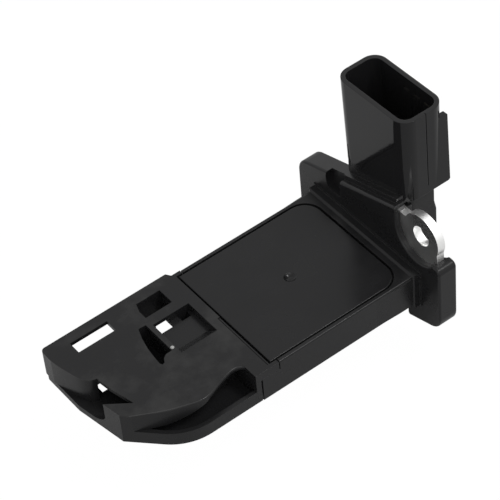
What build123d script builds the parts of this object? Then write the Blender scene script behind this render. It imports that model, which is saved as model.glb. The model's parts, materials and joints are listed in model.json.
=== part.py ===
from build123d import *
import math
import os

# A plug-in mass airflow sensor: a flat body that hangs in the air duct, a bypass tip, an oblique
# screw flange with two metal ears, and an upright five-way connector.
# Millimetres. +X points out of the duct, +Z towards the plug. The shapes are drawn from the centre of
# the flange's sealing face, and exported from the point midway between the two screw holes.

# Body
body_width = 32.0
body_thickness = 8.2
body_length = 39.3
body_edge = 0.35
body_floor = 1.4
floor_z = body_floor - body_thickness / 2
ramp_length = 6.0
ramp_start = 11.0
ramp_rise = 0.5
body_top = body_thickness / 2
body_side = body_width / 2

# Collar that centres the sensor in the duct's opening
collar_length = 1.3
collar_rise = 0.5
collar_chamfer = 0.8
rim_length = 0.3
rim_rise = 0.3

# Flange
flange_half_width = 22.15
flange_thickness = 4.6
flange_angle = 18.5
flange_height = 15.3
flange_corner = 4.0
flange_edge = 0.5
ledge_drop = 1.25
ledge_depth = 1.3
ledge_edge = 0.6
notch_y = 8.3
notch_z = 9.5
notch_radius = 4.5
notch_floor = 6.9
notch_depth = 1.6
seat_shoulder = 0.8
wall_depth = 2.45
lower_notch = 3.6
lower_notch_corner = 0.8

# Metal ears and their seats
ear_inset = 6.85
ear_y = flange_half_width - ear_inset
ear_z = 13.1
ear_radius = 5.05
ear_hole_radius = 2.3
ear_thickness = 1.8
ear_recess = 1.4
ear_foot = 4.65
ear_embed = 9.8
ear_shoulder = 2.1
seat_radius = 6.3
seat_end_angle = 221.0
seat_corner = 1.3
screw_plane = ear_recess + ear_thickness / 2

# Neck behind the flange
neck_front = 2.5
neck_back = 10.7
neck_low_back = 11.2
neck_low_height = 9.2
neck_slant = 2.4
neck_lap = 0.5
neck_start_y = -8.6
neck_end_y = 10.3
neck_corner = 0.35
neck_heel = 3.0
neck_step = 3.75
neck_step_y = -7.9

# Connector shroud, leaning a little with the flange
shroud_foot = 16.2
shroud_height = 20.8
shroud_foot_size = (10.4, 20.2)
shroud_rim_size = (10.7, 20.9)
shroud_rim_shift = 0.2
shroud_corner = 3.1
shroud_wall = 1.0
shroud_x = 7.7
shroud_y = 0.3
shroud_lean = 2.0
socket_floor = 2.8
rail_reach = 6.05
rail_drop = 3.3
rail_edge = 0.5
rail_width = 1.0
mould_line_x = 0.35
mould_line_width = 0.2
mould_line_depth = 0.12
mould_line_start = 2.0
catch_reach = 6.3
catch_width = 5.0
catch_height = 4.5
catch_low = 9.0
catch_lip = 1.0

# Terminals
terminal_count = 5
terminal_pitch = 3.0
terminal_width = 1.5
terminal_thickness = 0.64
terminal_top = 28.0
terminal_point = 0.8
terminal_reach = 8.6

# Circuit cover and the chamber under it
cover_thickness = 1.2
cover_gap = 0.4
cover_margin = 1.25
cover_half_width = body_side - cover_margin
cover_start = 3.55
tongue_length = 2.6
cover_end = body_length - tongue_length - cover_gap
cover_corner = 4.2
cover_ledge = 1.3
cover_edge = 0.2
dimple_x = -19.8
dimple_radius = 1.3
dimple_depth = 0.55
lid_rib_y = 0.8
lid_rib_x = 0.35
lid_rib_gap = 0.2
bead_height = 0.3
bead_width = 0.6
bead_inset = 0.3

# Bypass tip, measured along X from the end of the body
tip_overhang = 1.1
tip_side = body_side + tip_overhang
tip_front = -29.0
tip_top = body_thickness / 2
seam_gap = 0.35
tongue_thickness = 2.1
strap_length = 4.1
strap_gap = 0.25
strap_width = cover_margin - cover_gap
strap_root = 1.0
roof = 0.9
plate_bottom = -3.7
plate_top = -2.2
plate_side = body_side + 0.7
plate_front = -28.9
rim_top = -0.5
rim_wall = 0.9
rim_start = (-25.3, -7.0)
post_x = -1.55
tip_corner = 1.0
heel_radius = 12.0
inlet_fillet = 2.8
crease_radius = 0.4

# Outline of the tip seen from above, from the tongue round by the front to the outlet and the post
tip_left = [(tongue_length, body_side), (2.0, body_side), (1.3, tip_side), (tip_front, tip_side),
            (tip_front, 13.5)]
inlet_lip = [(tip_front, 13.5), (-28.6, 10.9), (-28.0, 8.3), (-27.3, 6.0), (-26.1, 4.3), (-24.8, 3.84)]
inlet_corner = (-23.0, -5.8)
inlet_front = (-27.65, -2.2)
inlet_edge = [(-24.8, 3.84), (-24.3, 0.13), inlet_corner, inlet_front, (-26.9, -6.5), (-25.3, -8.165)]
outlet_crease = (-15.1, -13.1)
outlet_edge = [(-25.3, -8.165), (-22.2, -9.9), (-18.8, -11.7), outlet_crease, (-12.1, -13.9), (-8.3, -12.9),
               (-4.9, -11.9), (-3.1, -11.75), (-2.0, -12.2), (post_x, -13.0)]
plate_heel = (-17.77, -body_side)
plate_outline = [(-seam_gap, plate_side), (plate_front, plate_side), (plate_front, 5.4), (-26.9, -6.5),
                 plate_heel, (-seam_gap, -body_side)]

# Air paths in the tip
channel = [(-23.6, 8.5), (-9.2, 8.5), (-9.2, -5.3), (-22.9, -5.3), (-25.2, -3.5), (-25.5, 3.6), (-24.8, 3.84)]
outlet = [(-25.3, -2 * body_side), (-25.3, -6.7), (-22.7, -6.9), (-18.7, -8.6), (-16.7, -9.3), (-16.7, -5.2),
          (-10.1, -5.2), (-10.1, -9.2), (post_x, -9.2), (post_x, -2 * body_side)]
outlet_arch = [(-25.4, plate_top), (-25.4, rim_top), (-22.7, rim_top), (-18.7, 0.13), (-17.0, 0.6),
               (-15.1, 1.2), (-13.2, 2.2), (-10.7, tip_top - roof), (post_x, tip_top - roof),
               (post_x, plate_top)]
crescent = [(-9.6, 8.7), (-11.3, 8.8), (-12.2, 6.4), (-12.9, 3.5), (-13.2, 1.1), (-13.4, -1.1), (-13.1, -1.7),
            (-12.5, -1.5), (-12.0, -0.6), (-11.1, 0.0), (-9.6, 0.06)]
side_chamber_x = (-26.6, -9.3)
side_chamber_y = 9.7
sill_y = body_side + 0.2
slot_x = (-23.6, -14.8)
slot_y = (11.6, 14.6)
vent = [(-7.8, 14.4), (-2.1, 14.4), (-2.1, 10.2), (-8.5, 10.2), (-8.5, 12.4)]
recess_x = (-8.5, 0.15)
recess_y = (-1.6, 7.8)
recess_depth = 1.9
recess_slope = 2.5
well_x = (-8.5, -2.1)
well_y = (6.3, 14.4)
well_mouth_x = (-7.9, -4.6)
well_roof = 1.2
slit_x = (-2.7, -0.5)
slit_y = (6.3, 7.8)
slit_floor = -1.0
inlet_drain_x = (-23.4, -20.3)
inlet_drain_y = (5.1, 8.4)
well_drain_x = (-6.7, -1.9)
well_drain_y = (9.6, 14.0)
under_channel_x = (-9.3, -6.0)
under_channel_y = (-5.3, 5.6)

# Electronics
base_thickness = 0.8
base_inset = 0.6
base_gap = 1.2
base_margin = 2.25
base_x = (-cover_end + cover_ledge + base_inset, -terminal_reach - base_gap)
base_half_width = cover_half_width - base_margin
board_thickness = 0.8
board_inset = (3.4, 1.5, 0.2)
board_x = (base_x[0] + board_inset[0], base_x[1] - board_inset[2])
board_half_width = base_half_width - board_inset[1]
board_z = floor_z + base_thickness + board_thickness
chip_size = 7.0
chip_height = 1.2
chip_place = (-17.0, 4.0)
capacitor_size = (3.2, 1.6, 1.0)
capacitor_places = [(-25.0, -7.0), (-20.0, -7.0), (-15.0, -7.0)]
ribbon_width = 0.4
ribbon_thickness = 0.2
ribbon_foot = 0.8
ribbon_rise = 1.0
ribbon_arch = 0.25
bond_inset = 1.2
shelf_margin = 0.4
module_reach = 8.6
module_root = 1.4
module_x = (-body_length - module_reach, base_x[0] + module_root)
module_y = (-2.4, 4.8)
module_z = (-0.45, 0.85)
module_ribbons = [-1.2, 0.4, 2.0, 3.6]
flow_chip_size = (1.8, 3.6, 0.4)
flow_chip_inset = 0.2
thermistor_reach = 16.7
thermistor_x = -body_length - thermistor_reach
thermistor_radius = 1.0
lead_size = 0.4
lead_y = (-3.0, -4.0)
lead_top = 0.85
lead_end = board_x[0] + bond_inset
gel_top = 1.6


def block(x0, x1, y0, y1, z0, z1):
    """A box given by its limits along each axis."""
    middle = ((x0 + x1) / 2, (y0 + y1) / 2, (z0 + z1) / 2)
    return Pos(*middle) * Box(abs(x1 - x0), abs(y1 - y0), abs(z1 - z0))


def across(x0):
    """The plane across the insertion axis at x0, with Y and Z as its own axes."""
    return Plane(origin=(x0, 0, 0), x_dir=(0, 1, 0), z_dir=(1, 0, 0))


def sideways(y0):
    """The upright plane at y0, with X and Z as its own axes; it extrudes towards -Y."""
    return Plane(origin=(0, y0, 0), x_dir=(1, 0, 0), z_dir=(0, -1, 0))


def plate_yz(points, x0, x1):
    face = make_face(Polyline(*points, close=True))
    return extrude(across(x0) * face, amount=x1 - x0)


def plate_xz(points, y0, y1):
    face = make_face(Polyline(*points, close=True))
    return extrude(sideways(y1) * face, amount=y1 - y0)


def plate_xy(outline, z0, z1):
    return extrude(Pos(0, 0, z0) * make_face(outline), amount=z1 - z0)


def flange_line(y, height):
    """Height of an oblique flange edge at y, for an edge that passes `height` at the middle."""
    return height - math.tan(math.radians(flange_angle)) * y


# Housing

def body_block():
    body = block(-body_length, 0, -body_side, body_side, -body_top, body_top)
    return fillet(body.edges().filter_by(Axis.X), body_edge)


def body_ramps():
    """Slight flare of the underside and of both sides towards the collar."""
    foot = -ramp_start + ramp_length
    low = -body_top - ramp_rise
    under = [(-ramp_start, -body_top), (foot, low), (0, low), (0, -body_top)]
    ramps = plate_xz(under, -body_side + body_edge, body_side - body_edge)
    for side in (body_side, -body_side):
        out = math.copysign(ramp_rise / 2, side)
        flare = Polyline((-ramp_start, side), (foot, side + out), (0, side + out), (0, side), close=True)
        ramps += plate_xy(flare, -body_top + body_edge, body_top - body_edge)
    return ramps


def collar():
    """Stepped collar with a chamfered lead-in, and a fine rim against the flange."""
    half = body_side + collar_rise
    high = body_top + collar_rise
    ring = block(-collar_length - collar_chamfer, 0, -half, half, -high, high)
    ring = chamfer(ring.faces().sort_by(Axis.X)[0].edges(), collar_chamfer, collar_rise)
    half += rim_rise
    high += rim_rise
    return ring + block(-rim_length, 0, -half, half, -high, high)


def seat_wall():
    """Where the flange ends beside an ear."""
    return -ear_y + seat_radius


def seat_point(angle):
    turn = math.radians(angle)
    return (-ear_y + seat_radius * math.cos(turn), ear_z + seat_radius * math.sin(turn))


def flange_plate():
    """Oblique plate, the same when turned half a turn, with a round seat at each ear."""
    wall = seat_wall()
    start = (flange_half_width, flange_line(flange_half_width, flange_height))
    end = seat_point(seat_end_angle)
    upper = [
        Polyline(start, (wall, flange_line(wall, flange_height)), (wall, ear_z)),
        ThreePointArc((wall, ear_z), seat_point(-45), end),
        Polyline(end, (-flange_half_width, end[1]), (-start[0], -start[1])),
    ]
    edges = [edge for path in upper for edge in path.edges()]
    edges += [Rot(0, 0, 180) * edge for edge in edges]
    plate = extrude(across(0) * make_face(edges), amount=flange_thickness)
    for y, z, radius in ((*start, flange_corner), (-flange_half_width, end[1], seat_corner)):
        for side in (1, -1):
            place = (flange_thickness / 2, side * y, side * z)
            plate = fillet(plate.edges().filter_by(Axis.X).sort_by_distance(place)[0], radius)
    return fillet(plate.faces().filter_by(Axis.X).edges(), flange_edge)


def flange_cuts():
    """The ledge in front of the neck, the round notch beside it and the gap under the body."""
    low = flange_height - ledge_drop
    wall = seat_wall()
    pad = wall + seat_shoulder
    top = 2 * flange_height
    ledge = plate_yz([(notch_y, flange_line(notch_y, low)), (notch_y, top), (wall, top),
                      (wall, flange_line(wall, low))], 0, ledge_depth)
    step = plate_yz([(pad, flange_line(pad, low)), (pad, top), (wall, top),
                     (wall, flange_line(wall, low))], 0, flange_thickness)
    disc = Pos(notch_y, notch_z) * Circle(notch_radius)
    window = Pos(notch_y + notch_radius, notch_floor + notch_radius) * Rectangle(
        2 * notch_radius, 2 * notch_radius)
    notch = extrude(across(0) * (disc & window), amount=notch_depth)
    gap = block(0, flange_thickness, -notch_y - lower_notch, -notch_y, -top, -notch_floor)
    return ledge + step + notch + gap + wall_back()


def wall_back():
    """Room behind the flange's wall beside the ear, in front of the neck."""
    low = ear_z + ear_shoulder
    room = block(wall_depth, neck_step, seat_wall(), neck_step_y, low, shroud_foot)
    return room + block(wall_depth, flange_thickness, seat_wall(), neck_start_y, low, 2 * shroud_foot)


def flange():
    """The flange with its cuts, and with the ledge's front edge and the gap's corner rounded."""
    plate = flange_plate() - flange_cuts()
    corner_y = -notch_y - lower_notch
    corner = (flange_thickness / 2, corner_y, flange_line(corner_y, -flange_height))
    plate = fillet(plate.edges().filter_by(Axis.X).sort_by_distance(corner)[0], lower_notch_corner)
    ledge = (0, 0, flange_height - ledge_drop)
    return fillet(plate.edges().sort_by_distance(ledge)[0], ledge_edge)


def neck():
    """Upright root of the connector, behind the flange, with a rounded heel."""
    top = shroud_foot + neck_lap
    side = [(neck_front, -body_top), (neck_low_back, -body_top), (neck_low_back, neck_low_height),
            (neck_back, neck_low_height + neck_slant), (neck_back, top), (neck_front, top)]
    column = plate_xz(side, neck_start_y, neck_end_y)
    heel = column.edges().filter_by(Axis.Y).sort_by_distance((neck_low_back, 0, -body_top))[0]
    column = fillet(heel, neck_heel)
    ends = [edge for face in column.faces().filter_by(Axis.Y) for edge in face.edges()]
    column = fillet([edge for edge in ends if edge.center().X > neck_back - neck_heel], neck_corner)
    front = column.edges().filter_by(Axis.Z).sort_by_distance((neck_front, neck_end_y, top))[0]
    return fillet(front, shroud_corner) - wall_back()


def shroud_form(wall):
    """The shroud as a solid with a slight draft, smaller all round by `wall`."""
    plans = []
    for height, shift, size in ((0, 0, shroud_foot_size), (shroud_height, shroud_rim_shift, shroud_rim_size)):
        plan = RectangleRounded(size[0] - 2 * wall, size[1] - 2 * wall, shroud_corner - wall)
        plans.append(Pos(shift, 0, height) * plan)
    return loft(plans)


def connector_place():
    return Pos(shroud_x, shroud_y, shroud_foot) * Rot(-shroud_lean, 0, 0)


def shroud():
    shell = shroud_form(0)
    face_x = shroud_foot_size[0] / 2
    end_y = shroud_foot_size[1] / 2
    high = shroud_height - rail_drop
    for side in (1, -1):
        limits = sorted((side * (end_y - rail_width), side * end_y))
        rail = block(0, rail_reach, *limits, 0, high)
        shell += fillet(rail.edges().filter_by(Axis.Y).sort_by(Axis.X)[-2:], rail_edge)
    low = face_x - shroud_wall / 2
    shell += plate_xz([(low, catch_low), (catch_reach, catch_low), (catch_reach, catch_low + catch_lip),
                       (face_x, catch_low + catch_height), (low, catch_low + catch_height)],
                      -catch_width / 2, catch_width / 2)
    shell -= socket()
    shell -= block(mould_line_x, mould_line_x + mould_line_width, -2 * end_y, -end_y + mould_line_depth,
                   mould_line_start, shroud_height)
    return connector_place() * shell


def socket():
    """Hollow of the shroud, above its floor."""
    size = 2 * shroud_rim_size[1]
    return shroud_form(shroud_wall) - Pos(0, 0, socket_floor - size / 2) * Box(size, size, size)


def cover_outline(grow):
    """Outline of the circuit cover, larger by `grow` all round."""
    half = cover_half_width + grow
    start = -cover_start + grow
    end = -cover_end - grow
    corner = cover_corner + grow
    rounding = corner * (1 - math.sqrt(0.5))
    return [
        Polyline((start - corner, half), (end, half), (end, -half), (start - corner, -half)),
        ThreePointArc((start - corner, -half), (start - rounding, -half + rounding), (start, -half + corner)),
        Line((start, -half + corner), (start, half - corner)),
        ThreePointArc((start, half - corner), (start - rounding, half - rounding), (start - corner, half)),
    ]


def cover_face(grow):
    return make_face([edge for path in cover_outline(grow) for edge in path.edges()])


def cover_solid(grow, z0, z1):
    return extrude(Pos(0, 0, z0) * cover_face(grow), amount=z1 - z0)


def chamber():
    """Room for the electronics, deeper behind the shelf that carries the terminals."""
    seat = body_top - cover_thickness - bead_height
    floor = floor_z
    room = cover_solid(-cover_ledge, floor, body_top)
    shelf = block(-terminal_reach - shelf_margin, 0, -body_side, body_side, floor, -terminal_thickness / 2)
    return cover_solid(cover_gap, seat, body_top + 1) + (room - shelf)


def lid_rib():
    """Low rib between half of the tongue and the circuit cover."""
    end = -cover_end - cover_gap
    return block(end - lid_rib_x, end, -body_side + strap_width, lid_rib_y, -body_top, body_top - lid_rib_gap)


def tongue_room():
    """Step in the end of the body that the tongue and the straps of the tip lie on."""
    low = body_top - tongue_thickness
    end = -cover_end - cover_gap
    room = block(-body_length, end, -body_side, body_side, low, body_top) - lid_rib()
    for side in (1, -1):
        limits = sorted((side * (body_side - strap_width), side * body_side))
        room += block(end, -body_length + strap_length + strap_gap, *limits, low, body_top)
    return room


def sensor_housing(passing):
    housing = body_block() + body_ramps() + collar()
    housing += flange()
    housing += neck()
    housing += shroud()
    housing -= chamber()
    housing -= tongue_room()
    for piece in passing:
        housing -= piece
    return housing


# Metal ears

def mounting_ear():
    """Stamped ear: a disc with a screw hole, on a wider plate that is moulded into the flange."""
    foot = -ear_y - ear_foot
    inner = -ear_y + ear_embed
    low = ear_z - ear_embed + ear_shoulder
    shoulder = ear_z + ear_shoulder
    half = math.sqrt(ear_radius ** 2 - ear_foot ** 2)
    touch = math.sqrt(ear_radius ** 2 - ear_shoulder ** 2)
    plate = make_face(Polyline((foot, ear_z - half), (foot, low), (inner, low), (inner, shoulder),
                               (-ear_y + touch, shoulder), (-ear_y, ear_z), close=True))
    disc = Pos(-ear_y, ear_z) * Circle(ear_radius)
    hole = Pos(-ear_y, ear_z) * Circle(ear_hole_radius)
    return extrude(across(ear_recess) * (disc + plate - hole), amount=ear_thickness)


# Terminals

def terminal(index):
    """Blade that lies in the body and rises into the socket, with a pointed end."""
    half = terminal_thickness / 2
    top = terminal_top
    tip = top - terminal_point
    back = shroud_x + half
    front = shroud_x - half
    side = [(-terminal_reach, -half), (back, -half), (back, tip), (shroud_x + half / 2, top),
            (shroud_x - half / 2, top), (front, tip), (front, half), (-terminal_reach, half)]
    middle = shroud_y + terminal_pitch * (index - (terminal_count + 1) / 2)
    return plate_xz(side, middle - terminal_width / 2, middle + terminal_width / 2)


def ribbon(x_high, z_high, x_low, z_low, middle):
    """Bond ribbon from a foot on the higher surface, over and down to a foot on the lower one."""
    step = math.copysign(1, x_low - x_high)
    crown = x_high + step * (ribbon_foot + ribbon_rise)
    under = [(x_high, z_high), (x_high + step * ribbon_foot, z_high), (crown, z_high + ribbon_arch),
             (x_low - step * ribbon_foot, z_low), (x_low, z_low)]
    slant = step * ribbon_thickness / 2
    over = [(x + (slant if 1 < n < 4 else 0), z + ribbon_thickness) for n, (x, z) in enumerate(under)]
    return plate_xz(under + over[::-1], middle - ribbon_width / 2, middle + ribbon_width / 2)


def terminal_ribbon(index):
    middle = shroud_y + terminal_pitch * (index - (terminal_count + 1) / 2)
    start = -terminal_reach + bond_inset
    return ribbon(start, terminal_thickness / 2, board_x[1] - bond_inset, board_z, middle)


def module_ribbon(index):
    middle = module_ribbons[index - 1]
    return ribbon(module_x[1] - bond_inset, module_z[1], board_x[0] + bond_inset, board_z, middle)


# Circuit cover and what lies under it

def circuit_cover():
    cover = cover_solid(0, tip_top - cover_thickness, tip_top)
    cover = fillet(cover.faces().sort_by(Axis.Z)[-1].edges(), cover_edge)
    ball = dimple_radius ** 2 / (2 * dimple_depth) + dimple_depth / 2
    return cover - Pos(dimple_x, 0, tip_top + ball - dimple_depth) * Sphere(ball)


def cover_adhesive():
    low = tip_top - cover_thickness - bead_height
    inner = -bead_inset - bead_width
    return cover_solid(-bead_inset, low, low + bead_height) - cover_solid(inner, low, low + bead_height)


def base_plate():
    return block(*base_x, -base_half_width, base_half_width, floor_z, floor_z + base_thickness)


def circuit_board():
    return block(*board_x, -board_half_width, board_half_width, board_z - board_thickness, board_z)


def control_chip():
    x, y = chip_place
    half = chip_size / 2
    return block(x - half, x + half, y - half, y + half, board_z, board_z + chip_height)


def capacitor(index):
    x, y = capacitor_places[index - 1]
    length, width, height = capacitor_size
    return block(x - length / 2, x + length / 2, y - width / 2, y + width / 2, board_z, board_z + height)


def flow_chip():
    length, width, depth = flow_chip_size
    end = module_x[0] + flow_chip_inset
    middle = sum(module_y) / 2
    return block(end, end + length, middle - width / 2, middle + width / 2, module_z[1] - depth, module_z[1])


def sensing_module():
    return block(*module_x, *module_y, *module_z) - flow_chip()


def thermistor_lead(index):
    low = lead_top - lead_size
    bend = lead_end - lead_size
    side = [(thermistor_x, low), (bend, low), (bend, board_z), (lead_end, board_z), (lead_end, lead_top),
            (thermistor_x, lead_top)]
    middle = lead_y[index - 1]
    return plate_xz(side, middle - lead_size / 2, middle + lead_size / 2)


def thermistor(leads):
    bead = Pos(thermistor_x, sum(lead_y) / 2, lead_top - lead_size / 2) * Sphere(thermistor_radius)
    for lead in leads:
        bead -= lead
    return bead


def silicone_gel(covered):
    gel = cover_solid(-cover_ledge, floor_z, gel_top)
    gel -= block(-terminal_reach - shelf_margin, 0, -body_side, body_side, floor_z, -terminal_thickness / 2)
    for piece in covered:
        gel -= piece
    return gel


# Bypass tip

def outline_face(points):
    return make_face(Polyline(*points, close=True))


def prism(points, z0, z1):
    return extrude(Pos(0, 0, z0) * outline_face(points), amount=z1 - z0)


def tip_form():
    """Outer form of the tip's upper shell, down to the cover plate."""
    left = Polyline(*tip_left)
    lip = Spline(*inlet_lip)
    edge = Polyline(*inlet_edge)
    wall = Spline(*outlet_edge)
    rib_end = tongue_length - lid_rib_x - lid_rib_gap
    end = Polyline(outlet_edge[-1], (post_x, -body_side), (rib_end, -body_side), (rib_end, lid_rib_y),
                   (tongue_length, lid_rib_y), tip_left[0])
    form = plate_xy([e for path in (left, lip, edge, wall, end) for e in path.edges()], plate_top, tip_top)
    corner = form.edges().filter_by(Axis.Z).sort_by_distance((tip_front, tip_side, tip_top))[0]
    form = fillet(corner, tip_corner)
    crease = form.faces().sort_by(Axis.Z)[-1].edges().sort_by_distance((*outlet_crease, tip_top))[0]
    form = fillet(crease, crease_radius)
    low = tip_top - tongue_thickness
    return form - block(-seam_gap, strap_length, -2 * body_side, 2 * body_side, plate_top, low)


def straps():
    """Two straps that reach along the circuit cover."""
    limits = (tongue_length - strap_root, strap_length)
    left = block(*limits, body_side - strap_width, body_side, tip_top - tongue_thickness, tip_top)
    return left + mirror(left, Plane.XZ)


def inlet_ramp():
    """Concave foot of the inlet's outer wall."""
    corner = Vector(*inlet_corner, plate_top)
    front = Vector(*inlet_front, plate_top)
    along = (front - corner).normalized()
    plane = Plane(origin=corner, x_dir=Vector(along.Y, -along.X, 0), z_dir=along)
    sign = math.copysign(1, plane.y_dir.Z)
    arc = CenterArc((inlet_fillet, sign * inlet_fillet), inlet_fillet, 180, sign * 90)
    face = make_face([Line((0, sign * inlet_fillet), (0, 0)), Line((0, 0), (inlet_fillet, 0)), arc])
    ramp = extrude(plane * face, amount=2 * (front - corner).length)
    return ramp & prism(plate_outline, plate_top, tip_top)


def air_paths():
    cut = prism(channel, plate_top, tip_top - roof)
    cut += prism(outlet, plate_top, tip_top) & plate_xz(outlet_arch, -2 * body_side, 0)
    cut += block(*side_chamber_x, side_chamber_y, 2 * body_side, plate_top, tip_top - roof)
    return cut + block(*under_channel_x, *under_channel_y, plate_top, well_roof)


def recess():
    """Square recess whose floor slopes up to the top along its near side."""
    near, far = recess_y
    low = tip_top - recess_depth
    side = make_face(Polyline((near, tip_top), (near + recess_slope, low), (far, low), (far, 2 * tip_top),
                              (near, 2 * tip_top), close=True))
    return extrude(across(recess_x[0]) * side, amount=recess_x[1] - recess_x[0])


def top_openings():
    cut = block(*slot_x, *slot_y, 0, 2 * tip_top)
    cut += prism(vent, plate_top, 2 * tip_top)
    cut += prism(crescent, 0, 2 * tip_top)
    cut += recess()
    cut += block(*well_mouth_x, *well_y, plate_top, tip_top - roof)
    cut += block(*slit_x, *slit_y, slit_floor, tip_top - recess_depth)
    return cut + block(*well_x, *well_y, plate_top, well_roof)


def bypass_housing(passing):
    shell = tip_form() + straps() + inlet_ramp()
    shell -= air_paths()
    shell -= top_openings()
    shell = Pos(-body_length, 0, 0) * shell
    for piece in passing:
        shell -= piece
    return shell


def plate_face(inset):
    face = outline_face(plate_outline)
    heel = face.vertices().sort_by_distance((*plate_heel, 0))[0]
    face = fillet(heel, heel_radius)
    front = face.vertices().sort_by_distance((plate_front, plate_side, 0))[0]
    face = fillet(front, tip_corner)
    return offset(face, -inset) if inset else face


def bypass_cover():
    plate = extrude(Pos(0, 0, plate_bottom) * plate_face(0), amount=plate_top - plate_bottom)
    rim = extrude(Pos(0, 0, plate_top) * (plate_face(0) - plate_face(rim_wall)), amount=rim_top - plate_top)
    plate += rim & block(rim_start[0], post_x, -2 * body_side, rim_start[1], plate_top, rim_top)
    plate -= block(*side_chamber_x, sill_y, 2 * body_side, plate_bottom, plate_top)
    plate -= block(*inlet_drain_x, *inlet_drain_y, plate_bottom, plate_top)
    plate -= block(*well_drain_x, *well_drain_y, plate_bottom, plate_top)
    return Pos(-body_length, 0, 0) * plate


ears = {"mounting_ear_upper": mounting_ear(), "mounting_ear_lower": Rot(180, 0, 0) * mounting_ear()}
terminals = {f"terminal_{n}": terminal(n) for n in range(1, terminal_count + 1)}
leads = {f"thermistor_lead_{n}": thermistor_lead(n) for n in (1, 2)}
module = sensing_module() + flow_chip()

built = {}
built.update(ears)
built.update(terminals)
built.update(leads)
built["sensor_housing"] = sensor_housing([*ears.values(), *terminals.values(), *leads.values(), module])
built["circuit_cover"] = circuit_cover()
built["cover_adhesive"] = cover_adhesive()
built["base_plate"] = base_plate()
built["circuit_board"] = circuit_board()
built["control_chip"] = control_chip()
for n in range(1, len(capacitor_places) + 1):
    built[f"capacitor_{n}"] = capacitor(n)
for n in range(1, terminal_count + 1):
    built[f"terminal_ribbon_{n}"] = terminal_ribbon(n)
for n in range(1, len(module_ribbons) + 1):
    built[f"module_ribbon_{n}"] = module_ribbon(n)
built["sensing_module"] = sensing_module()
built["flow_chip"] = flow_chip()
built["air_temperature_thermistor"] = thermistor(leads.values())
covered = [shape for name, shape in built.items() if name not in ("sensor_housing", "circuit_cover")]
built["silicone_gel"] = silicone_gel(covered)
built["bypass_housing"] = bypass_housing([*leads.values(), module])
built["bypass_cover"] = bypass_cover()

os.makedirs("parts", exist_ok=True)
for name, shape in built.items():
    shape = Pos(-screw_plane, 0, 0) * shape
    shape.label = name
    export_step(shape, f"parts/{name}.step")
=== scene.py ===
import json
import math

import bmesh
import bpy
from mathutils import Matrix, Vector


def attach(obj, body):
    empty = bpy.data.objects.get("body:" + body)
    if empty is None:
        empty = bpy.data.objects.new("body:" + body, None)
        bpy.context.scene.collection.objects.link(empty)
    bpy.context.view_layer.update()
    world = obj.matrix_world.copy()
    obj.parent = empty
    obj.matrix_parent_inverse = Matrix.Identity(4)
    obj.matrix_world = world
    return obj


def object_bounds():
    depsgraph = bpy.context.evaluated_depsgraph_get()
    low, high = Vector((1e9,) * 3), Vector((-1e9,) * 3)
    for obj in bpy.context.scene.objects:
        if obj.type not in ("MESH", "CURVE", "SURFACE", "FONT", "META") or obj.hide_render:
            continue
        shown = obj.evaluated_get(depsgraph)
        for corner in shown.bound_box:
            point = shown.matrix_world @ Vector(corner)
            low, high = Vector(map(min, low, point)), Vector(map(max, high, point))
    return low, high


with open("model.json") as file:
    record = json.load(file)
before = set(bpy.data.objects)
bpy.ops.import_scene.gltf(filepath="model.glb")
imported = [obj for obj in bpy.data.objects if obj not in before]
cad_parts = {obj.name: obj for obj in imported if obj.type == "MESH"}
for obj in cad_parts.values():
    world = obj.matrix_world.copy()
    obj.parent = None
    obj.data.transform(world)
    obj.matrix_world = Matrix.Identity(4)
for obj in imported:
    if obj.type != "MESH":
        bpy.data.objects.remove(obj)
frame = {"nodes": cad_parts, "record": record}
nodes = frame["nodes"]
cad_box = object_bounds()

MM = 0.001
WHITE = (1, 1, 1, 1)

# Where the flange's sealing face lies along X in the CAD frame, in millimetres
FACE_X = -2.3


# Node helpers

def new_material(name):
    material = bpy.data.materials.new(name)
    material.use_nodes = True
    tree = material.node_tree
    tree.nodes.clear()
    return material, tree


def add(tree, kind, **values):
    """A shader node with its named inputs and attributes set."""
    node = tree.nodes.new(kind)
    for key, value in values.items():
        if hasattr(node, key):
            setattr(node, key, value)
        else:
            node.inputs[key.replace("_", " ")].default_value = value
    return node


def find(tree, kind):
    """The first node of a kind that was added to the tree, such as BEVEL."""
    return next(node for node in tree.nodes if node.type == kind)


def feed_of(shader, name):
    """The socket that feeds the shader's named input."""
    return shader.inputs[name].links[0].from_socket


def noise(tree, place, **values):
    node = add(tree, "ShaderNodeTexNoise", **values)
    tree.links.new(place.outputs["Object"], node.inputs["Vector"])
    return node.outputs["Fac"]


def remap(tree, source, span, result):
    """The socket's span stretched to the result's, and held at its two ends."""
    node = add(tree, "ShaderNodeMapRange")
    node.inputs["From Min"].default_value, node.inputs["From Max"].default_value = span
    node.inputs["To Min"].default_value, node.inputs["To Max"].default_value = result
    tree.links.new(source, node.inputs["Value"])
    return node.outputs["Result"]


def ramp(tree, source, millimetres, result=(0.0, 1.0)):
    """A change over a stretch of the frame, given in millimetres."""
    return remap(tree, source, [value * MM for value in millimetres], result)


def combine(tree, operation, *sources):
    node = add(tree, "ShaderNodeMath", operation=operation)
    for index, source in enumerate(sources):
        tree.links.new(source, node.inputs[index])
    return node.outputs["Value"]


def axes(tree, vector):
    """The sockets of a vector's X, Y and Z."""
    node = add(tree, "ShaderNodeSeparateXYZ")
    tree.links.new(vector, node.inputs["Vector"])
    return node.outputs


def blend(tree, kind, factor, first, second):
    """Goes from the first socket or value to the second as the factor rises."""
    node = add(tree, "ShaderNodeMix", data_type=kind)
    tree.links.new(factor, node.inputs["Factor"])
    for name, source in (("A", first), ("B", second)):
        if isinstance(source, bpy.types.NodeSocket):
            tree.links.new(source, node.inputs[name])
        else:
            node.inputs[name].default_value = source
    return node.outputs["Result"]


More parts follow.
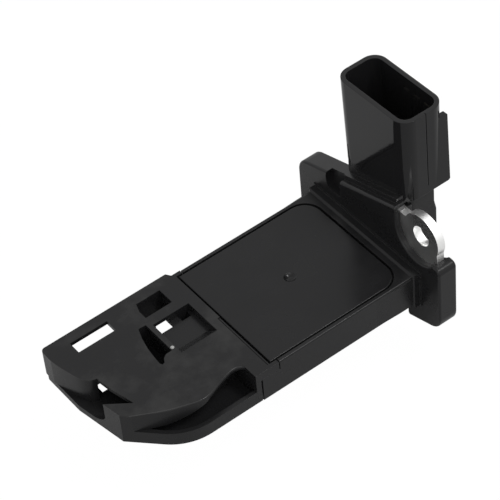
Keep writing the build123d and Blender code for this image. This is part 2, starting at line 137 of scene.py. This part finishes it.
def blend_shaders(tree, factor, first, second):
    """Goes from the first shader to the second as the factor rises."""
    node = add(tree, "ShaderNodeMixShader")
    tree.links.new(factor, node.inputs["Fac"])
    tree.links.new(first, node.inputs[1])
    tree.links.new(second, node.inputs[2])
    return node.outputs["Shader"]


# What all surfaces share: soft clouds of tone and roughness, fine specks of relief, and worn edges

CLOUD_SCALE = 140.0
CLOUD_DETAIL = 4.0
CLOUD_RANGE = (0.35, 0.65)
TONE_SPREAD = 0.15
SPECK_SCALE = 2600.0
SPECK_DETAIL = 2.0
SPECK_STRENGTH = 0.35
EDGE_SAMPLES = 6


def grained(name, colour, rough, spread=0.05, grain=0.012, metallic=0.0, specular=0.5, edge=0.0):
    """A surface whose specks are `grain` deep and whose edges are worn to `edge`, in millimetres."""
    material, tree = new_material(name)
    out = add(tree, "ShaderNodeOutputMaterial")
    shader = add(tree, "ShaderNodeBsdfPrincipled", Metallic=metallic, Specular_IOR_Level=specular)
    place = add(tree, "ShaderNodeTexCoord")
    cloud = noise(tree, place, Scale=CLOUD_SCALE, Detail=CLOUD_DETAIL)
    specks = noise(tree, place, Scale=SPECK_SCALE, Detail=SPECK_DETAIL)
    dark = (*[share * (1 - TONE_SPREAD) for share in colour], 1)
    pale = (*[min(1, share * (1 + TONE_SPREAD)) for share in colour], 1)
    tree.links.new(blend(tree, "RGBA", cloud, dark, pale), shader.inputs["Base Color"])
    roughness = remap(tree, cloud, CLOUD_RANGE, (rough - spread, rough + spread))
    tree.links.new(roughness, shader.inputs["Roughness"])
    bump = add(tree, "ShaderNodeBump", Strength=SPECK_STRENGTH, Distance=grain * MM)
    tree.links.new(specks, bump.inputs["Height"])
    if edge:
        bevel = add(tree, "ShaderNodeBevel", samples=EDGE_SAMPLES, Radius=edge * MM)
        tree.links.new(bevel.outputs["Normal"], bump.inputs["Normal"])
    tree.links.new(bump.outputs["Normal"], shader.inputs["Normal"])
    tree.links.new(shader.outputs["BSDF"], out.inputs["Surface"])
    return material


# Black plastic of the housing and the tip

BLACK = (0.0105, 0.0105, 0.011)
PLASTIC_SPECULAR = 0.2

# The gloss takes over from the satin between these heights, in millimetres
GLOSS_HEIGHTS = (15.0, 17.0)
GLOSS_ROUGHNESS = (0.04, 0.07)


def housing_material():
    """Satin on the body and flange, and glossy on the connector above them."""
    material = grained("housing_plastic", BLACK, rough=0.3, specular=PLASTIC_SPECULAR, edge=0.1)
    tree = material.node_tree
    shader = find(tree, "BSDF_PRINCIPLED")
    place = find(tree, "TEX_COORD")
    cloud = find(tree, "TEX_NOISE").outputs["Fac"]
    upper = ramp(tree, axes(tree, place.outputs["Object"])["Z"], GLOSS_HEIGHTS)
    gloss = remap(tree, cloud, CLOUD_RANGE, GLOSS_ROUGHNESS)
    roughness = blend(tree, "FLOAT", upper, feed_of(shader, "Roughness"), gloss)
    tree.links.new(roughness, shader.inputs["Roughness"])
    return material


# The tip's edges are worn only at its rear and on the outlet's side, in millimetres
WORN_REAR = (-46.5, -45.5)
WORN_SIDE = (-12.0, -10.0)
WORN_EDGE = 0.12

# Dust lies in patches on the tip's top face, and its pale colour there is also painted light, which leaves
# the recess and the walls below in painted shade; it fades in between these heights, in millimetres
DUST_AND_LIGHT_HEIGHTS = (3.6, 4.0)
DUST_SCALE = 70.0
DUST_DETAIL = 5.0
DUST_ROUGHNESS = 0.65
DUST_RANGE = (0.48, 0.7)
DUST_AND_LIGHT_MOST = 0.5
DUST_AND_LIGHT_COLOUR = (0.045, 0.045, 0.044, 1)


def tip_material():
    """Satin with dust and painted light on its top face, which leaves the recess in painted shade, and crisp
    edges but for the worn ones.
    """
    finish = {"rough": 0.27, "spread": 0.03, "specular": PLASTIC_SPECULAR, "edge": WORN_EDGE}
    material = grained("tip_plastic", BLACK, **finish)
    tree = material.node_tree
    shader = find(tree, "BSDF_PRINCIPLED")
    place = find(tree, "TEX_COORD")
    position = axes(tree, place.outputs["Object"])
    rear = ramp(tree, position["X"], WORN_REAR)
    side = ramp(tree, position["Y"], WORN_SIDE, (WORN_EDGE * MM, 0.0))
    tree.links.new(combine(tree, "MULTIPLY", rear, side), find(tree, "BEVEL").inputs["Radius"])
    smear = noise(tree, place, Scale=DUST_SCALE, Detail=DUST_DETAIL, Roughness=DUST_ROUGHNESS)
    patches = remap(tree, smear, DUST_RANGE, (0.0, DUST_AND_LIGHT_MOST))
    top = ramp(tree, position["Z"], DUST_AND_LIGHT_HEIGHTS)
    # The top face is painted paler in patches, partly as dust and partly as painted light, so that the
    # recess below reads as painted shade
    dust_and_light = combine(tree, "MULTIPLY", patches, top)
    colour = blend(tree, "RGBA", dust_and_light, feed_of(shader, "Base Color"), DUST_AND_LIGHT_COLOUR)
    tree.links.new(colour, shader.inputs["Base Color"])
    return material


# The ears' sheared edges, told from their rolled faces by how far the surface faces along X
ROLLED_FACING = (0.3, 0.9)
SHEARED_COLOUR = (0.97, 0.97, 0.96, 1)
SHEARED_ROUGHNESS = 0.4


def ear_material():
    """Dull rolled faces, and bright sheared edges round the ear and its hole."""
    material = grained("ear_metal", (0.8, 0.8, 0.79), rough=0.3, metallic=1.0, grain=0.006, edge=0.05)
    tree = material.node_tree
    shader = find(tree, "BSDF_PRINCIPLED")
    place = find(tree, "TEX_COORD")
    facing = combine(tree, "ABSOLUTE", axes(tree, place.outputs["Normal"])["X"])
    sheared = remap(tree, facing, ROLLED_FACING, (1.0, 0.0))
    colour = blend(tree, "RGBA", sheared, feed_of(shader, "Base Color"), SHEARED_COLOUR)
    tree.links.new(colour, shader.inputs["Base Color"])
    roughness = blend(tree, "FLOAT", sheared, feed_of(shader, "Roughness"), SHEARED_ROUGHNESS)
    tree.links.new(roughness, shader.inputs["Roughness"])
    return material


def cover_material():
    """Smoother than the housing, with finer edges."""
    return grained("cover_plastic", (0.0095, 0.0095, 0.01), rough=0.24, specular=PLASTIC_SPECULAR, edge=0.06)


def fine_metal(name, colour):
    """Stamped or drawn metal that is too small to show a coarse grain."""
    return grained(name, colour, rough=0.3, metallic=1.0, grain=0.002)


finishes = {
    "housing": housing_material(),
    "cover": cover_material(),
    "tip": tip_material(),
    "ear_metal": ear_material(),
    "terminal_metal": fine_metal("terminal_metal", (0.72, 0.68, 0.55)),
    "base_metal": grained("base_metal", (0.7, 0.7, 0.72), rough=0.4, metallic=1.0),
    "board": grained("board_ceramic", (0.62, 0.6, 0.55), rough=0.6),
    "chip": grained("chip_moulding", (0.03, 0.03, 0.03), rough=0.55),
    "capacitor": grained("capacitor_ceramic", (0.35, 0.26, 0.18), rough=0.5),
    "ribbon": fine_metal("bond_ribbon", (0.8, 0.8, 0.82)),
    "module": grained("module_moulding", (0.03, 0.035, 0.03), rough=0.5),
    "silicon": grained("silicon", (0.08, 0.08, 0.11), rough=0.15),
    "gel": grained("silicone_gel", (0.55, 0.55, 0.52), rough=0.25),
    "adhesive": grained("adhesive", (0.02, 0.02, 0.02), rough=0.6),
    "bead": grained("thermistor_glass", (0.05, 0.035, 0.025), rough=0.2),
}
slot_of = {part["node"]: part["material_slot"] for part in frame["record"]["subparts"]}
for name, node in nodes.items():
    node.data.materials.clear()
    node.data.materials.append(finishes[slot_of[name]])


# Small marks of the moulds, and a nub on the tip that is painted pale as a painted highlight: places from
# the flange's face and radii in millimetres, slopes in degrees

COVER_MARK = {"centre": (-19.8, 0.0, 3.52), "radius": 0.8, "slope": 24}
TIP_HIGHLIGHT_NUB = {"centre": (-48.4, 0.6, 4.09), "radius": 0.42, "slope": 70}
CAP_RINGS = 8
CAP_STEPS = 32
QUAD_CORNERS = 4


def cap_mesh(name, radius, slope):
    """A closed spherical cap with a rim of `radius`, that slopes by `slope` there."""
    ball = radius / math.sin(math.radians(slope))
    low = ball * math.cos(math.radians(slope))
    turns = [2 * math.pi * step / CAP_STEPS for step in range(CAP_STEPS)]
    form = bmesh.new()
    loops = []
    for ring in range(1, CAP_RINGS + 1):
        polar = math.radians(slope * ring / CAP_RINGS)
        out, height = ball * math.sin(polar), ball * math.cos(polar) - low
        loops.append([
            form.verts.new((out * math.cos(turn) * MM, out * math.sin(turn) * MM, height * MM))
            for turn in turns
        ])
    peak = form.verts.new((0, 0, (ball - low) * MM))
    for step in range(CAP_STEPS):
        following = (step + 1) % CAP_STEPS
        form.faces.new((peak, loops[0][step], loops[0][following]))
        for inner, outer in zip(loops, loops[1:]):
            form.faces.new((inner[step], outer[step], outer[following], inner[following]))
    form.faces.new(reversed(loops[-1]))
    # All but the flat underside
    for face in form.faces:
        face.smooth = len(face.verts) <= QUAD_CORNERS
    mesh = bpy.data.meshes.new(name)
    form.to_mesh(mesh)
    form.free()
    return mesh


def add_cap(name, slot, material, centre, radius, slope):
    """A cap whose rim lies round `centre`."""
    mesh = cap_mesh(name, radius, slope)
    mesh.materials.append(material)
    cap = bpy.data.objects.new(name, mesh)
    cap.location = ((centre[0] + FACE_X) * MM, centre[1] * MM, centre[2] * MM)
    bpy.context.scene.collection.objects.link(cap)
    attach(cap, "root")


# The nub on the tip is painted pale grey as a painted highlight, standing in for a glint on the black
# plastic
nub_highlight_paint = grained("nub_painted_highlight", (0.34, 0.34, 0.33), rough=0.4)
add_cap("cover_gate_mark", "cover", finishes["cover"], **COVER_MARK)
add_cap("tip_nub_painted_highlight", "tip", nub_highlight_paint, **TIP_HIGHLIGHT_NUB)


# Floor, in metres but for the gap under the object in millimetres

FLOOR_SIZE = 4.0
FLOOR_GAP = 0.5
FLOOR_COLOUR = (0.62, 0.62, 0.62, 1)
FLOOR_GLOW = 1.02

# How much of the floor's look to the camera is the glow, so that the rest is a trace of the shadow
GLOW_SHARE = 0.97


def floor_material():
    """A pale floor that lights the object from below, and shows to the camera as white."""
    material, tree = new_material("pale_floor")
    out = add(tree, "ShaderNodeOutputMaterial")
    path = add(tree, "ShaderNodeLightPath")
    plain = add(tree, "ShaderNodeBsdfDiffuse", Color=FLOOR_COLOUR)
    white = add(tree, "ShaderNodeEmission", Color=WHITE, Strength=FLOOR_GLOW)
    share = remap(tree, path.outputs["Is Camera Ray"], (0.0, 1.0), (0.0, GLOW_SHARE))
    look = blend_shaders(tree, share, plain.outputs["BSDF"], white.outputs["Emission"])
    tree.links.new(look, out.inputs["Surface"])
    return material


def add_floor(height):
    bpy.ops.mesh.primitive_plane_add(size=FLOOR_SIZE, location=(0, 0, height))
    floor = bpy.context.object
    floor.name = "floor"
    floor.data.materials.append(floor_material())


# Room

ROOM_LIGHT = 0.62
ROOM_WHITE = 1.0


def add_world():
    """White to the camera and in gloss, and a soft even light on everything else."""
    world = bpy.data.worlds.new("studio")
    bpy.context.scene.world = world
    world.use_nodes = True
    tree = world.node_tree
    tree.nodes.clear()
    out = add(tree, "ShaderNodeOutputWorld")
    path = add(tree, "ShaderNodeLightPath")
    soft = add(tree, "ShaderNodeBackground", Color=WHITE, Strength=ROOM_LIGHT)
    white = add(tree, "ShaderNodeBackground", Color=WHITE, Strength=ROOM_WHITE)
    seen = combine(tree, "MAXIMUM", path.outputs["Is Camera Ray"], path.outputs["Is Glossy Ray"])
    look = blend_shaders(tree, seen, soft.outputs["Background"], white.outputs["Background"])
    tree.links.new(look, out.inputs["Surface"])


# Softboxes, in metres and watts, which both point at one place near the middle of the object

LIT_POINT = (-0.02, 0.0, 0.0)
KEY_LIGHT = {"location": (0.22, -0.296, 0.704), "size": 0.2, "power": 2.4}
FILL_LIGHT = {"location": (-0.36, -0.52, 0.65), "size": 0.5, "power": 1.6}


def add_softbox(name, location, size, power):
    lamp = bpy.data.lights.new(name, "AREA")
    lamp.shape = "SQUARE"
    lamp.size = size
    lamp.energy = power
    obj = bpy.data.objects.new(name, lamp)
    obj.location = location
    obj.rotation_euler = (Vector(LIT_POINT) - Vector(location)).to_track_quat("-Z", "Y").to_euler()
    bpy.context.scene.collection.objects.link(obj)


# Camera, solved from the photo's edges: axes, place and range in metres, and lens in millimetres

CAMERA_RIGHT = Vector((0.789, -0.611, -0.069))
CAMERA_DOWN = Vector((-0.482, -0.545, -0.686))
CAMERA_FORWARD = Vector((0.381, 0.575, -0.724))
CAMERA_PLACE = Vector((-0.206857, -0.265193, 0.352195))
SENSOR_WIDTH = 36.0
LENS = 172.8
NEAREST = 0.01
FARTHEST = 10.0


def add_camera():
    """The photo's view, from in front of the tip, to the right and above."""
    data = bpy.data.cameras.new("camera")
    data.sensor_width = SENSOR_WIDTH
    data.lens = LENS
    data.clip_start = NEAREST
    data.clip_end = FARTHEST
    camera = bpy.data.objects.new("camera", data)
    turn = Matrix((CAMERA_RIGHT, -CAMERA_DOWN, -CAMERA_FORWARD)).transposed()
    camera.matrix_world = Matrix.Translation(CAMERA_PLACE) @ turn.to_4x4()
    bpy.context.scene.collection.objects.link(camera)
    bpy.context.scene.camera = camera


add_floor(cad_box[0].z - FLOOR_GAP * MM)
add_world()
add_softbox("key_light", **KEY_LIGHT)
add_softbox("fill_light", **FILL_LIGHT)
add_camera()
bpy.context.scene.view_settings.view_transform = "Standard"
